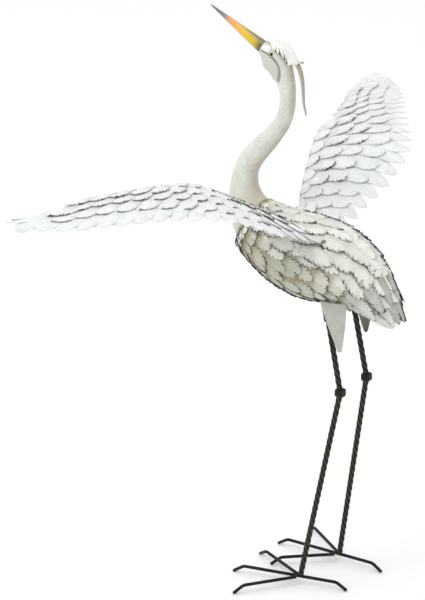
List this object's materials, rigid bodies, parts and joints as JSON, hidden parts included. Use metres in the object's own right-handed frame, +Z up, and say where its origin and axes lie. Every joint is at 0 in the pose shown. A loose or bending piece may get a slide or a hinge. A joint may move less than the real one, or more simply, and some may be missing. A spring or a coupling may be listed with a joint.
{
  "type": "crane garden statue",
  "caption": "Standing crane garden statue of painted sheet steel with raised, spread feathered wings and tall legs of twisted bar.",
  "frame": {"origin": "centre of the bounding box at ground level", "axes": "+Z up; the bird faces -Y; its left wing reaches along +X"},
  "size_m": [1.0856, 0.4158, 1.0208],
  "materials": {
    "neck_enamel": "satin off-white enamel, faintly mottled beige towards the base",
    "crest_enamel": "satin white enamel with darker notched edges",
    "beak_enamel": "satin enamel running from olive and yellow at the root through orange to a grey tip",
    "feather_enamel": "white enamel on stamped sheet steel, edges worn dark, beige in the recesses",
    "thigh_enamel": "plain pale grey enamel",
    "leg_enamel": "dark olive-black enamel with a soft sheen"
  },
  "bodies": {
    "root": {"head_and_neck": "neck_enamel", "beak": "beak_enamel", "crest_plate": "crest_enamel", "crest_plume": "crest_enamel", "body": "feather_enamel", "upper_tail_feathers": "feather_enamel", "lower_tail_feathers": "feather_enamel", "left_wing_flight_feathers": "feather_enamel", "left_wing_large_coverts": "feather_enamel", "left_wing_middle_coverts": "feather_enamel", "left_wing_small_coverts": "feather_enamel", "left_thigh_plate": "thigh_enamel", "left_leg_socket": "leg_enamel", "left_set_screw": "leg_enamel", "left_upper_leg": "leg_enamel", "left_knee_collar": "leg_enamel", "left_lower_leg": "leg_enamel", "left_long_toe_rod": "leg_enamel", "left_outer_toe_rod": "leg_enamel", "left_inner_toe_rod": "leg_enamel", "right_wing_flight_feathers": "feather_enamel", "right_wing_large_coverts": "feather_enamel", "right_wing_middle_coverts": "feather_enamel", "right_wing_small_coverts": "feather_enamel", "right_thigh_plate": "thigh_enamel", "right_leg_socket": "leg_enamel", "right_set_screw": "leg_enamel", "right_upper_leg": "leg_enamel", "right_knee_collar": "leg_enamel", "right_lower_leg": "leg_enamel", "right_long_toe_rod": "leg_enamel", "right_outer_toe_rod": "leg_enamel", "right_inner_toe_rod": "leg_enamel"}
  },
  "joints": []
}
